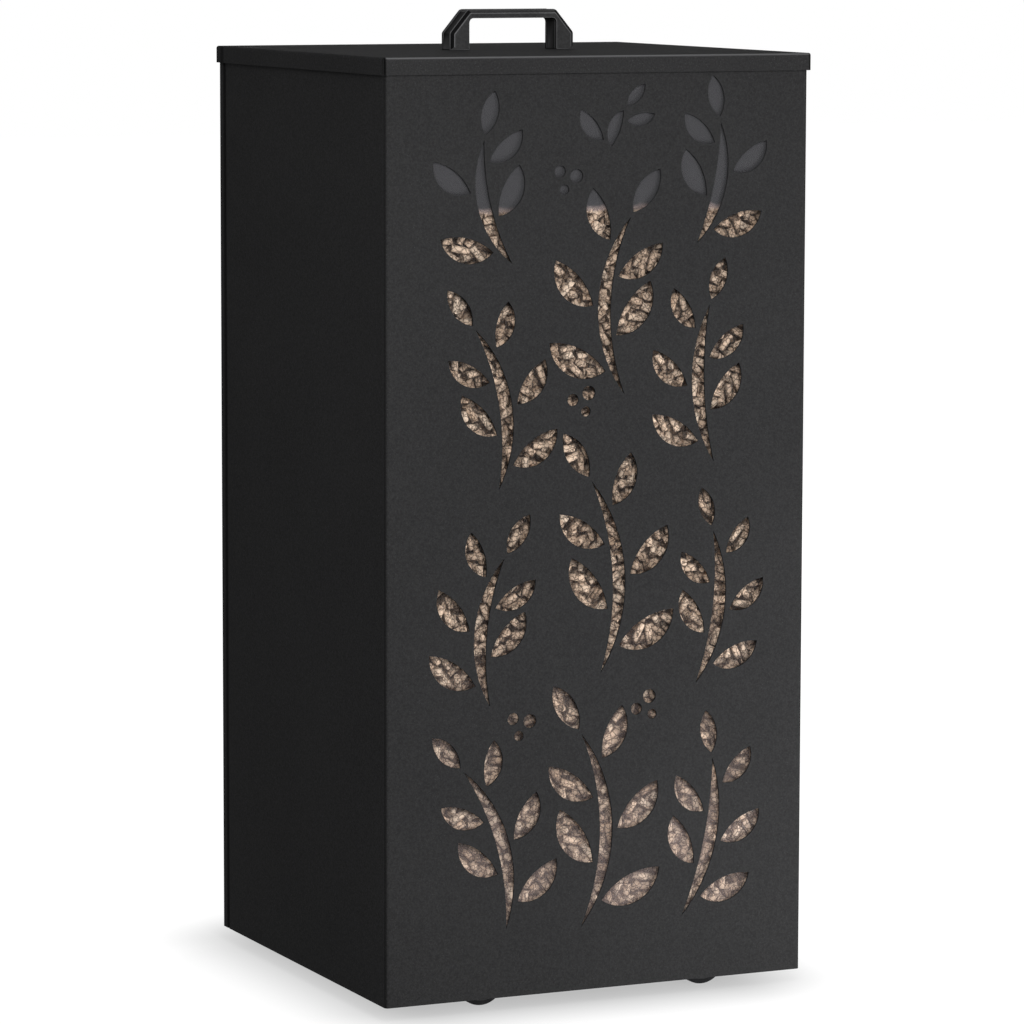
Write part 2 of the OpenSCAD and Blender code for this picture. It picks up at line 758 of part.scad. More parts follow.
front_panel();
left_panel();
right_panel();
back_panel();
rim_front();
rim_left();
rim_right();
rim_back();
seam_return_left();
seam_return_right();
floor_panel();
seam_rivets();
window_pane();
window_seal();
window_rail_left();
window_rail_right();
window_studs();
window_nuts();
pane_blocks();
pellet_fill();
castor_screws();
castor_nuts();
lid_panel();
lid_handle();
handle_screws();
handle_washers();
lid_pads();
castor_plate(castor_fl);  // castor_plate_fl
castor_plate(castor_fr);  // castor_plate_fr
castor_plate(castor_bl);  // castor_plate_bl
castor_plate(castor_br);  // castor_plate_br
king_pin(castor_fl);  // king_pin_fl
king_pin(castor_fr);  // king_pin_fr
king_pin(castor_bl);  // king_pin_bl
king_pin(castor_br);  // king_pin_br
swivel_race(castor_fl);  // swivel_race_fl
swivel_race(castor_fr);  // swivel_race_fr
swivel_race(castor_bl);  // swivel_race_bl
swivel_race(castor_br);  // swivel_race_br
castor_fork(castor_fl);  // castor_fork_fl
castor_fork(castor_fr);  // castor_fork_fr
castor_fork(castor_bl);  // castor_fork_bl
castor_fork(castor_br);  // castor_fork_br
castor_axle(castor_fl);  // castor_axle_fl
castor_axle(castor_fr);  // castor_axle_fr
castor_axle(castor_bl);  // castor_axle_bl
castor_axle(castor_br);  // castor_axle_br
castor_wheel(castor_fl);  // castor_wheel_fl
castor_wheel(castor_fr);  // castor_wheel_fr
castor_wheel(castor_bl);  // castor_wheel_bl
castor_wheel(castor_br);  // castor_wheel_br
castor_tyre(castor_fl);  // castor_tyre_fl
castor_tyre(castor_fr);  // castor_tyre_fr
castor_tyre(castor_bl);  // castor_tyre_bl
castor_tyre(castor_br);  // castor_tyre_br
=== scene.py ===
import json
import math

import bmesh
import bpy
import numpy as np
from mathutils import Matrix, Vector


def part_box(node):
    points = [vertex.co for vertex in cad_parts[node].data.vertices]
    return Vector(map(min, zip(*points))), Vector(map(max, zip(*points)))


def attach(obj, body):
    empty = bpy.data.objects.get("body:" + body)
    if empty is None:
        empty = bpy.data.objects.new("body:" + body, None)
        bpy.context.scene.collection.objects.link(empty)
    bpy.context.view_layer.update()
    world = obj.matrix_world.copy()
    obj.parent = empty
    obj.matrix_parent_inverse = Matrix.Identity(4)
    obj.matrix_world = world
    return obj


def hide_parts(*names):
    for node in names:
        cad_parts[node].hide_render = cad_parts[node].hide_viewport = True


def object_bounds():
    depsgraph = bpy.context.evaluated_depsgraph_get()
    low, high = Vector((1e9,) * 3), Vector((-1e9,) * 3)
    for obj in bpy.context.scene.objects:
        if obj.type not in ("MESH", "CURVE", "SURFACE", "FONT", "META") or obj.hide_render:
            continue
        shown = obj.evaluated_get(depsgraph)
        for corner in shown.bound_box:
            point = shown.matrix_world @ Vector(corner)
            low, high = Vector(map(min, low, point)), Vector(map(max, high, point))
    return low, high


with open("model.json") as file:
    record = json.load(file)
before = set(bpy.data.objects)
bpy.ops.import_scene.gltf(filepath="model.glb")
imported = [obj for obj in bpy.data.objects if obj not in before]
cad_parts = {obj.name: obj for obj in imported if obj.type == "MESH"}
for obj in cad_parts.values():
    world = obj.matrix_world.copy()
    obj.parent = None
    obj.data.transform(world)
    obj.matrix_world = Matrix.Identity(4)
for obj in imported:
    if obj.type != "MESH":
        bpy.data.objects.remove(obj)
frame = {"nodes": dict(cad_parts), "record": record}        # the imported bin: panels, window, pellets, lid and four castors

scene = bpy.context.scene
nodes = frame["nodes"]
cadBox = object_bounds()
mergeDistance = 0.000001      # points closer than this are one point
crownRise = 0.012      # how far the heap's middle stands above its edges
print("bin loaded,", len(nodes), "nodes")


# One socket of a node tree. An expression on wires adds the Math nodes that it needs.
class Wire:
    def __init__(self, kit, socket):
        self.kit, self.socket = kit, socket

    def math(self, operation, first, second):
        return self.kit.node("ShaderNodeMath", {"operation": operation}, {0: first, 1: second})

    def __add__(self, other):
        return self.math("ADD", self, other)

    def __radd__(self, other):
        return self.math("ADD", other, self)

    def __sub__(self, other):
        return self.math("SUBTRACT", self, other)

    def __rsub__(self, other):
        return self.math("SUBTRACT", other, self)

    def __mul__(self, other):
        return self.math("MULTIPLY", self, other)

    def __rmul__(self, other):
        return self.math("MULTIPLY", other, self)

    def __pow__(self, other):
        return self.math("POWER", self, other)

    def __rpow__(self, other):
        return self.math("POWER", other, self)

    def larger(self, other):
        return self.math("MAXIMUM", self, other)

    def above(self, other):
        return self.math("GREATER_THAN", self, other)

    def size(self):
        return self.math("ABSOLUTE", self, 0.0)

    def sibling(self, out):      # another output of the same node
        return Wire(self.kit, self.socket.node.outputs[out])


# A node tree with one method that makes any node: its settings first, then its sockets
class Kit:
    def __init__(self, tree):
        self.tree = tree

    def node(self, kind, settings=None, values=None, out=0):
        made = self.tree.nodes.new(kind)
        for name, value in (settings or {}).items():
            if name == "stops":
                steps = made.color_ramp.elements
                while len(steps) < len(value):
                    steps.new(1.0)
                for step, (place, colour) in zip(steps, value):
                    step.position, step.color = place, (*colour, 1.0)
            else:
                setattr(made, name, value)
        for place, value in (values or {}).items():
            if isinstance(value, Wire):
                self.tree.links.new(value.socket, made.inputs[place])
            else:
                made.inputs[place].default_value = value
        return Wire(self, made.outputs[out]) if len(made.outputs) else None


# A material, with the few patterns that the bin's finishes are made of
class Finish(Kit):
    def __init__(self, name):
        self.material = bpy.data.materials.new(name)
        self.material.use_nodes = True
        super().__init__(self.material.node_tree)
        self.tree.nodes.clear()
        self.place = self.node("ShaderNodeTexCoord", out="Object")

    def noise(self, scale, detail=2.0, roughness=0.5):
        return self.node("ShaderNodeTexNoise", {},
                         {"Vector": self.place, "Scale": scale, "Detail": detail, "Roughness": roughness})

    def cells(self, scale, feature="F1", out="Distance"):
        return self.node("ShaderNodeTexVoronoi", {"feature": feature},
                         {"Vector": self.place, "Scale": scale}, out)

    def rise(self, value, low, high):      # 0 below low, 1 above high
        return self.node("ShaderNodeMapRange", {"interpolation_type": "SMOOTHSTEP"},
                         {"Value": value, "From Min": low, "From Max": high})

    def blend(self, share, first, second):      # from one colour, plain or already mixed, to a plain one
        start = first if isinstance(first, Wire) else (*first, 1.0)
        return self.node("ShaderNodeMix", {"data_type": "RGBA"}, {0: share, 6: start, 7: (*second, 1.0)}, 2)

    def bump(self, height, depth):
        return self.node("ShaderNodeBump", {}, {"Height": height, "Distance": depth, "Strength": 1.0})

    def parts(self, vector):      # its X, Y and Z
        x = self.node("ShaderNodeSeparateXYZ", {}, {0: vector}, "X")
        return x, x.sibling("Y"), x.sibling("Z")

    def facing(self):      # the parts of the surface's own direction
        return self.parts(self.node("ShaderNodeNewGeometry", out="Normal"))

    def skin(self, **values):
        named = {name.replace("_", " "): value for name, value in values.items()}
        return self.close(self.node("ShaderNodeBsdfPrincipled", {}, named))

    def close(self, surface):
        self.node("ShaderNodeOutputMaterial", {}, {"Surface": surface})
        return self


powderLook = {
    "colour": (0.0175, 0.0175, 0.0179),
    "paleColour": (0.0310, 0.0310, 0.0315),
    "speckColour": (0.090, 0.090, 0.092),
    "bendHighlightColour": (0.150, 0.150, 0.153),
    "shadeColour": (0.0045, 0.0045, 0.0046),
    "grainPerMetre": 1250.0,
    "mottlePerMetre": 620.0,
    "patchesPerMetre": 3.2,
    "glossPerMetre": 40.0,
    "mottle": 0.8,      # share of the mottle in the pale tone; the large patches make the rest
    "specks": 0.45,      # how strongly the specks, the painted highlight on the lid's front bend, the painted shade in the seams and the painted shade on the upright bends show
    "rubbed": 0.75,
    "seamShade": 0.62,
    "bends": 0.5,
    "grooveAcross": (0.0044, 0.0026),      # where the painted shade in a rear seam's groove begins and is full, from the seam's middle
    "grooveInside": (0.0012, 0.0002),      # the same, in from the side wall's outside
    "notchInside": (0.0032, 0.0020),      # and in from the lid's corner
    "roughness": 0.82,
    "glossChange": 0.08,
    "rubbedGloss": 0.15,
    "specular": 0.005,
    "grainDepth": 0.00006,
    "mottleHeight": 0.8,
}


def powderCoat(look):
    finish = Finish("black powder coat")
    grain = finish.noise(look["grainPerMetre"], detail=2.0, roughness=0.6)
    mottle = finish.noise(look["mottlePerMetre"], detail=2.0, roughness=0.7)
    patches = finish.noise(look["patchesPerMetre"], detail=3.0, roughness=0.6)
    specks = finish.rise(grain, low=0.60, high=0.74)
    facingX, facingY, facingZ = finish.facing()
    forward, aside = 0 - facingY, facingX.size()
    slant = facingZ * facingZ * (1 - facingZ * facingZ) * 4      # 1 where the surface leans back by 45 degrees
    ridge = slant * facingZ.above(0.05) * finish.rise(forward, low=0.05, high=0.50)      # the lid's front bend, painted lighter as a highlight
    bends = (finish.rise(aside, low=0.45, high=0.75) * finish.rise(aside, low=0.998, high=0.975)
             * finish.rise(forward, low=0.02, high=0.10))      # the upright bends beside the front, painted dark as shade
    x, y = finish.parts(finish.place)[:2]
    seam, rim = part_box("seam_return_right")[1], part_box("lid_panel")[1]

    def near(value, edge, reach):      # rises as value comes from reach[0] to reach[1] inside edge
        return finish.rise(value, edge - reach[0], edge - reach[1])

    # painted shade in the rear seams' grooves and in the lid's open corners
    grooves = (finish.rise((y - seam.y).size(), *look["grooveAcross"])
               * near(x.size(), seam.x, look["grooveInside"]))
    notches = near(x.size(), rim.x, look["notchInside"]) * near(0 - y, rim.y, look["notchInside"])
    pale = (finish.rise(mottle, low=0.22, high=0.78) * look["mottle"]
            + finish.rise(patches, low=0.35, high=0.68) * (1.0 - look["mottle"]))
    colour = finish.blend(pale, look["colour"], look["paleColour"])
    colour = finish.blend(specks * look["specks"], colour, look["speckColour"])
    # painted highlight along the lid's front bend
    colour = finish.blend(ridge * look["rubbed"], colour, look["bendHighlightColour"])
    # painted shade at the rear seams and the lid's corners
    colour = finish.blend(grooves.larger(notches) * look["seamShade"], colour, look["shadeColour"])
    # painted shade on the upright bends beside the front
    colour = finish.blend(bends * look["bends"], colour, look["shadeColour"])
    gloss = look["glossChange"] * finish.noise(look["glossPerMetre"]) + look["rubbedGloss"] * ridge
    return finish.skin(
        Base_Color=colour,
        Roughness=look["roughness"] - gloss,
        Specular_IOR_Level=look["specular"],
        Normal=finish.bump(grain + look["mottleHeight"] * mottle, look["grainDepth"]))


handleLook = {
    "colour": (0.031, 0.031, 0.0315),
    "paleColour": (0.057, 0.057, 0.058),
    "slopeShadeColour": (0.0045, 0.0045, 0.0047),
    "edgeHighlightColour": (0.170, 0.170, 0.174),
    "grainPerMetre": 950.0,
    "wornPerMetre": 55.0,
    "mottlePerMetre": 520.0,
    "mottle": 0.7,      # share of the mottle in the pale tone; the worn patches make the rest
    "slopeShade": 0.95,
    "leastHighlight": 0.6,      # how strongly the painted highlight on an edge shows where the handle is least worn
    "roughness": 0.66,
    "wornGloss": 0.14,
    "edgeGloss": 0.12,
    "specular": 0.02,
    "grainDepth": 0.00005,
    "footCorner": 0.0008,
    "kneeCorner": 0.0040,
    "topCorner": 0.0042,
    "innerCorner": 0.0035,
    "edgeRound": 0.0007,
    "chamfer": 0.0030,      # slope between each broad face and the handle's outside
    "rim": 0.0048,      # where the outside's shallow channel starts, from each broad face
    "rimHighlight": 0.4,
    "recess": 0.0012,
    "leg": 0.016,
    "bar": 0.007,
    "kneeHeight": 0.0135,
    "lean": 0.0155,
    "sharpDegrees": 40.0,
}


def handlePlastic(look):
    finish = Finish("handle plastic")
    grain = finish.cells(look["grainPerMetre"], "SMOOTH_F1")
    wearAndHighlight = finish.rise(finish.noise(look["wornPerMetre"], detail=3.0), low=0.30, high=0.75)
    mottle = finish.rise(finish.noise(look["mottlePerMetre"], detail=3.0, roughness=0.7), low=0.25, high=0.75)
    pale = mottle * look["mottle"] + (1.0 - look["mottle"]) * wearAndHighlight
    colour = finish.blend(pale, look["colour"], look["paleColour"])
    facingY, facingZ = finish.facing()[1:]
    side = facingY.size()      # 1 on the broad faces, 0.71 on the slopes beside them
    # painted shade on the slopes beside the broad faces, unless they face mostly upwards
    slopes = finish.rise(side, low=0.84, high=0.76) * finish.rise(facingZ, low=0.70, high=0.66)
    colour = finish.blend(slopes * look["slopeShade"], colour, look["slopeShadeColour"])
    rubbed = finish.node("ShaderNodeAttribute", {"attribute_name": "rubbed"}, out="Fac")      # rounded edges, painted lighter as a highlight
    strength = look["leastHighlight"] + (1.0 - look["leastHighlight"]) * wearAndHighlight
    # painted highlight along the rounded edges, weaker where the handle is less worn
    colour = finish.blend(rubbed * strength, colour, look["edgeHighlightColour"])
    return finish.skin(
        Base_Color=colour,
        Roughness=look["roughness"] - look["wornGloss"] * wearAndHighlight - look["edgeGloss"] * rubbed,
        Specular_IOR_Level=look["specular"],
        Normal=finish.bump(grain, look["grainDepth"]))


paneLook = {
    "glassIor": 1.15,
    "glassTint": (0.975, 0.98, 0.98),
    "glassRoughness": 0.03,
    "dustColour": (0.52, 0.41, 0.385),
    "reflectionGreyColour": (0.056, 0.056, 0.0595),
    "dustAtFoot": 0.10,
    "dustAtMiddle": 0.010,
    "dustReach": 0.45,      # how far the foot's dust reaches up, as a share of the pane's height
    "cloudsPerMetre": 14.0,
    "clouds": (0.6, 1.4),      # the thinnest and the thickest dust, as a share of its mean
    "reflectionAboveFill": 0.85,
    "edgeFade": (0.003, 0.004),      # the painted reflection starts this far under the pellets' edge, full this far over
    "edgeWander": 0.008,
    "edgeWandersPerMetre": 70.0,
}


def clearPane(look):
    finish = Finish("clear pane")
    low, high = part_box("window_pane")
    height = finish.parts(finish.place)[2]
    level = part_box("pellet_fill")[1].z - crownRise      # the pellets' top edge at the pane
    cloud = finish.rise(finish.noise(look["cloudsPerMetre"], detail=4.0, roughness=0.6), low=0.25, high=0.8)
    foot = finish.rise(height, low.z + look["dustReach"] * (high.z - low.z), low.z)
    wander = look["edgeWander"] * finish.noise(look["edgeWandersPerMetre"], detail=2.0)
    free = finish.rise(height + wander, level - look["edgeFade"][0], level + look["edgeFade"][1])
    middle, (thin, thick) = look["dustAtMiddle"], look["clouds"]
    dust = middle + (look["dustAtFoot"] - middle) * foot * (thin + (thick - thin) * cloud)
    # painted reflection: an opaque dark grey film over the pane above the pellets
    paintedReflection = (look["reflectionAboveFill"] - middle) * free
    clear = finish.node("ShaderNodeBsdfTransparent", {}, {"Color": (*look["glassTint"], 1.0)})
    gloss = finish.node("ShaderNodeBsdfAnisotropic", {},
                        {"Color": (1.0, 1.0, 1.0, 1.0), "Roughness": look["glassRoughness"]})
    fine = finish.node("ShaderNodeBsdfDiffuse", {}, {"Color": (*look["dustColour"], 1.0)})
    reflectionGrey = finish.node("ShaderNodeBsdfDiffuse", {}, {"Color": (*look["reflectionGreyColour"], 1.0)})
    film = finish.node("ShaderNodeMixShader", {}, {0: free, 1: fine, 2: reflectionGrey})
    shine = finish.node("ShaderNodeFresnel", {}, {"IOR": look["glassIor"]})
    sheet = finish.node("ShaderNodeMixShader", {}, {0: shine, 1: clear, 2: gloss})
    return finish.close(finish.node("ShaderNodeMixShader", {}, {0: dust + paintedReflection, 1: sheet, 2: film}))


pelletLook = {
    "tones": [
        (0.00, (0.150, 0.090, 0.058)),
        (0.30, (0.460, 0.315, 0.218)),
        (0.65, (0.750, 0.555, 0.415)),
        (1.00, (0.850, 0.700, 0.560)),
    ],
    "toneShare": 0.72,      # what the pellet's own tone and its fibres give to the place on that ramp
    "fibreShare": 0.42,
    "toneShift": -0.06,
    "endColour": (0.26, 0.17, 0.11),
    "pelletShadeColour": (0.030, 0.018, 0.012),
    "glintColour": (0.92, 0.80, 0.66),
    "fibresPerMetre": 900.0,
    "crumbsPerMetre": 1900.0,
    "darkCrumbs": 0.5,      # how strongly each of these shows
    "glints": 0.45,
    "ends": 0.25,
    "cracks": 0.8,
    "turnedAwayShade": 0.85,
    "flakesPerMetre": 250.0,      # pressed flakes, parted by dark cracks
    "crackWidth": (0.13, 0.02),      # from a crack's edge to where it is darkest, in flakes
    "crackBend": 0.004,
    "bendsPerMetre": 330.0,
    "roughness": 0.72,
    "fibreRoughness": 0.16,
    "specular": 0.3,
    "reliefDepth": 0.0003,
    "crumbHeight": 0.6,      # as shares of the fibres' height
    "endCrumbs": 0.5,
    "crackDepth": 0.8,
}


def pelletWood(look):
    finish = Finish("pressed wood pellet")
    tone = finish.node("ShaderNodeAttribute", {"attribute_name": "tone"}, out="Fac")
    end = finish.node("ShaderNodeAttribute", {"attribute_name": "cap"}, out="Fac")
    fibres = finish.noise(look["fibresPerMetre"], detail=3.0, roughness=0.65)
    crumbs = finish.noise(look["crumbsPerMetre"], detail=2.0)
    warp = finish.node("ShaderNodeTexNoise", {},
                       {"Vector": finish.place, "Scale": look["bendsPerMetre"], "Detail": 2.0}, "Color")
    shift = finish.node("ShaderNodeVectorMath", {"operation": "SCALE"}, {0: warp, "Scale": look["crackBend"]})
    bent = finish.node("ShaderNodeVectorMath", {"operation": "ADD"}, {0: finish.place, 1: shift})
    flake = finish.node("ShaderNodeTexVoronoi", {"feature": "DISTANCE_TO_EDGE"},
                        {"Vector": bent, "Scale": look["flakesPerMetre"]}, "Distance")
    cracks = finish.rise(flake, *look["crackWidth"])
    colour = finish.node("ShaderNodeValToRGB", {"stops": look["tones"]},
                         {0: tone * look["toneShare"] + look["fibreShare"] * fibres + look["toneShift"]})
    dark = finish.rise(crumbs, low=0.60, high=0.76) * look["darkCrumbs"]
    bright = finish.rise(crumbs, low=0.40, high=0.24) * look["glints"]
    colour = finish.blend(dark, colour, look["endColour"])
    colour = finish.blend(bright, colour, look["glintColour"])
    colour = finish.blend(end * look["ends"], colour, look["endColour"])
    # the cracks painted dark, as shade in them
    colour = finish.blend(cracks * look["cracks"], colour, look["pelletShadeColour"])
    facingY, facingZ = finish.facing()[1:]
    outward = (0 - facingY).larger(facingZ)      # how squarely it faces the pane or the lid
    # painted shade on the sides of pellets turned away from the pane and the lid
    turnedAway = finish.rise(outward, low=0.80, high=0.10) * look["turnedAwayShade"]
    colour = finish.blend(turnedAway, colour, look["pelletShadeColour"])
    relief = (fibres + look["crumbHeight"] * crumbs + look["endCrumbs"] * end * crumbs
              - look["crackDepth"] * cracks)
    return finish.skin(
        Base_Color=colour,
        Roughness=look["roughness"] + look["fibreRoughness"] * fibres,
        Specular_IOR_Level=look["specular"],
        Normal=finish.bump(relief, look["reliefDepth"]))


zincLook = {
    "colour": (0.66, 0.67, 0.68),
    "darkSpangle": 0.72,      # a dark flake's colour, as a share of a pale one's
    "spangles": 0.5,
    "spanglesPerMetre": 900.0,
    "brushedPerMetre": 1600.0,
    "metallic": 0.95,
    "roughness": 0.24,
    "spangleRoughness": 0.14,
    "brushedRoughness": 0.08,
    "spangleHeight": 0.4,
    "reliefDepth": 0.00003,
}
castorZincLook = {**zincLook, "colour": (0.55, 0.56, 0.57), "roughness": 0.38, "spanglesPerMetre": 340.0}


def galvanised(name, look):
    finish = Finish(name)
    flakes = finish.cells(look["spanglesPerMetre"], "F1", "Color")
    shade = finish.node("ShaderNodeSeparateColor", {}, {0: flakes})
    brushed = finish.noise(look["brushedPerMetre"], detail=2.0)
    dark = [look["darkSpangle"] * part for part in look["colour"]]
    return finish.skin(
        Base_Color=finish.blend(shade * look["spangles"], look["colour"], dark),
        Metallic=look["metallic"],
        Roughness=look["roughness"] + look["spangleRoughness"] * shade + look["brushedRoughness"] * brushed,
        Normal=finish.bump(brushed + look["spangleHeight"] * shade, look["reliefDepth"]))


rubberLook = {
    "colour": (0.018, 0.018, 0.018),
    "paleness": 2.2,      # the bloom's colour, as a multiple of the rubber's
    "bloom": 0.5,
    "bloomPerMetre": 60.0,
    "bloomGloss": 0.1,
    "roughness": 0.84,
    "specular": 0.3,
    "poresPerMetre": 1500.0,
    "poreDepth": 0.00012,
}
tyreLook = {**rubberLook, "colour": (0.017, 0.017, 0.018), "poresPerMetre": 2400.0, "poreDepth": 0.00005}


def blackRubber(name, look):
    finish = Finish(name)
    pores = finish.cells(look["poresPerMetre"])
    bloom = finish.rise(finish.noise(look["bloomPerMetre"], detail=4.0, roughness=0.65), low=0.42, high=0.8)
    pale = [look["paleness"] * part for part in look["colour"]]
    return finish.skin(
        Base_Color=finish.blend(bloom * look["bloom"], look["colour"], pale),
        Roughness=look["roughness"] - look["bloomGloss"] * bloom,
        Specular_IOR_Level=look["specular"],
        Normal=finish.bump(pores, look["poreDepth"]))


wheelLook = {
    "colour": (0.030, 0.030, 0.031),
    "scuffColour": (0.085, 0.082, 0.078),
    "scuffs": 0.5,
    "scuffsPerMetre": 220.0,
    "scuffRoughness": 0.2,
    "roughness": 0.5,
    "specular": 0.35,
    "grainPerMetre": 700.0,
    "grainDepth": 0.00004,
}


def wheelPlastic(look):
    finish = Finish("wheel plastic")
    grain = finish.noise(look["grainPerMetre"], detail=2.0)
    scuffs = finish.rise(finish.noise(look["scuffsPerMetre"], detail=4.0, roughness=0.7), low=0.58, high=0.72)
    return finish.skin(
        Base_Color=finish.blend(scuffs * look["scuffs"], look["colour"], look["scuffColour"]),
        Roughness=look["roughness"] + look["scuffRoughness"] * scuffs,
        Specular_IOR_Level=look["specular"],
        Normal=finish.bump(grain, look["grainDepth"]))


finishes = {
    "black_coat": powderCoat(powderLook),
    "handle_plastic": handlePlastic(handleLook),
    "clear_pane": clearPane(paneLook),
    "soft_rubber": blackRubber("soft black rubber", rubberLook),
    "zinc_hardware": galvanised("bright zinc plate", zincLook),
    "castor_zinc": galvanised("dull zinc plate", castorZincLook),
    "wheel_plastic": wheelPlastic(wheelLook),
    "tyre_rubber": blackRubber("tyre rubber", tyreLook),
    "pellet_wood": pelletWood(pelletLook),
}
for part in frame["record"]["subparts"]:
    piece = nodes[part["node"]]
    for index in range(max(1, len(piece.material_slots))):
        if index == len(piece.material_slots):
            piece.data.materials.append(None)
        piece.material_slots[index].material = finishes[part["material_slot"]].material
print("finishes made and given to the nodes")


def newObject(name, data):
    made = bpy.data.objects.new(name, data)
    scene.collection.objects.link(made)
    return made


def applied(piece):      # its modifiers become part of its mesh
    bpy.context.view_layer.update()
    ready = piece.evaluated_get(bpy.context.evaluated_depsgraph_get())
    result = bpy.data.meshes.new_from_object(ready)
    piece.modifiers.clear()
    piece.data = result
    return piece


# Runs a mesh through a node tree and returns the result as a plain object
def grow(name, mesh, tree, inputs):
    piece = newObject(name, mesh)
    modifier = piece.modifiers.new("grow", "NODES")
    modifier.node_group = tree
    sockets = {item.name: item.identifier for item in tree.interface.items_tree if item.in_out == "INPUT"}
    for label, value in inputs.items():
        modifier[sockets[label]] = value
    return applied(piece)


# Turns a bmesh into an object. With sharp, in degrees, points are merged, faces point outwards, and edges are
# smooth up to that angle.
def pieceOf(shape, name, sharp=None):
    if sharp:
        bmesh.ops.remove_doubles(shape, verts=shape.verts[:], dist=mergeDistance)
        bmesh.ops.recalc_face_normals(shape, faces=shape.faces[:])
    mesh = bpy.data.meshes.new(name)
    shape.to_mesh(mesh)
    shape.free()
    if sharp:
        mesh.shade_smooth()
        mesh.set_sharp_from_angle(angle=math.radians(sharp))
    return newObject(name, mesh)


# Loose points, with a number or a direction at each for every attribute
def pointsMesh(name, places, **attributes):
    mesh = bpy.data.meshes.new(name)
    mesh.from_pydata(places, [], [])
    for label, values in attributes.items():
        values = np.asarray(values, float)
        kind, field = ("FLOAT_VECTOR", "vector") if values.ndim == 2 else ("FLOAT", "value")
        mesh.attributes.new(label, kind, "POINT").data.foreach_set(field, values.ravel())
    return mesh


# Hides the nodes that a finished piece stands for, and attaches the piece to what it moves with
def settle(piece, body, slot, *replaced):
    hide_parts(*replaced)
    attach(piece, body)
    return piece


def openTree(name, inputs):
    tree = bpy.data.node_groups.new(name, "GeometryNodeTree")
    for label, kind in inputs:
        tree.interface.new_socket(label, in_out="INPUT", socket_type="NodeSocket" + kind)
    tree.interface.new_socket("Result", in_out="OUTPUT", socket_type="NodeSocketGeometry")
    kit = Kit(tree)
    return kit, kit.node("NodeGroupInput")


def closeTree(kit, copies, finish):
    real = kit.node("GeometryNodeRealizeInstances", {}, {0: copies})
    painted = kit.node("GeometryNodeSetMaterial", {}, {"Geometry": real, "Material": finish})
    kit.node("NodeGroupOutput", {}, {0: painted})
    return kit.tree


def pelletTree():
    kit, given = openTree("pellets on points", [
        ("Points", "Geometry"), ("Diameter", "Float"), ("Sides", "Int"), ("Crumble", "Float"),
        ("Crumbs per metre", "Float"), ("Crumble seed", "Float"), ("Finish", "Material")])
    rod = kit.node("GeometryNodeMeshCylinder", {"fill_type": "NGON"},
                   {"Vertices": given.sibling("Sides"), "Side Segments": 1, "Fill Segments": 1,
                    "Radius": given.sibling("Diameter") * 0.5, "Depth": 1.0}, "Mesh")
    side = rod.sibling("Side")
    smooth = kit.node("GeometryNodeSetShadeSmooth", {"domain": "FACE"},
                      {"Geometry": rod, "Shade Smooth": side})
    capped = kit.node("GeometryNodeStoreNamedAttribute", {"data_type": "FLOAT", "domain": "FACE"},
                      {"Geometry": smooth, "Name": "cap", "Value": 1 - side})
    heading = kit.node("GeometryNodeInputNamedAttribute", {"data_type": "FLOAT_VECTOR"}, {"Name": "heading"})
    length = kit.node("GeometryNodeInputNamedAttribute", {"data_type": "FLOAT"}, {"Name": "length"})
    turn = kit.node("FunctionNodeAlignRotationToVector", {"axis": "Z"}, {"Vector": heading})
    size = kit.node("ShaderNodeCombineXYZ", {}, {0: 1.0, 1: 1.0, 2: length})
    copies = kit.node("GeometryNodeInstanceOnPoints", {}, {
        "Points": given.sibling("Points"), "Instance": capped, "Rotation": turn, "Scale": size})
    real = kit.node("GeometryNodeRealizeInstances", {}, {0: copies})
    rough = kit.node("ShaderNodeTexNoise", {"noise_dimensions": "4D"},
                     {"W": given.sibling("Crumble seed"), "Scale": given.sibling("Crumbs per metre"),
                      "Detail": 1.0}, "Color")
    middle = kit.node("ShaderNodeVectorMath", {"operation": "SUBTRACT"}, {0: rough, 1: (0.5, 0.5, 0.5)})
    shift = kit.node("ShaderNodeVectorMath", {"operation": "SCALE"},
                     {0: middle, "Scale": given.sibling("Crumble")})
    broken = kit.node("GeometryNodeSetPosition", {}, {"Geometry": real, "Offset": shift})
    return closeTree(kit, broken, given.sibling("Finish"))


# How far each of some axes passes from each of some others, 0 where two cross
def axisGap(first, second):
    a, b = first[:, None, 0], first[:, None, 1]
    c, d = second[None, :, 0], second[None, :, 1]

    def reach(point, start, end):
        run = end - start
        share = np.clip(((point - start) * run).sum(-1) / (run * run).sum(-1), 0.0, 1.0)
        return np.linalg.norm(point - start - share[..., None] * run, axis=-1)

    def side(p, q, r):
        return ((q[..., 0] - p[..., 0]) * (r[..., 1] - p[..., 1])
                - (q[..., 1] - p[..., 1]) * (r[..., 0] - p[..., 0]))

    gap = np.minimum(np.minimum(reach(a, c, d), reach(b, c, d)), np.minimum(reach(c, a, b), reach(d, a, b)))
    gap[(side(a, b, c) * side(a, b, d) < 0) & (side(c, d, a) * side(c, d, b) < 0)] = 0.0
    return gap


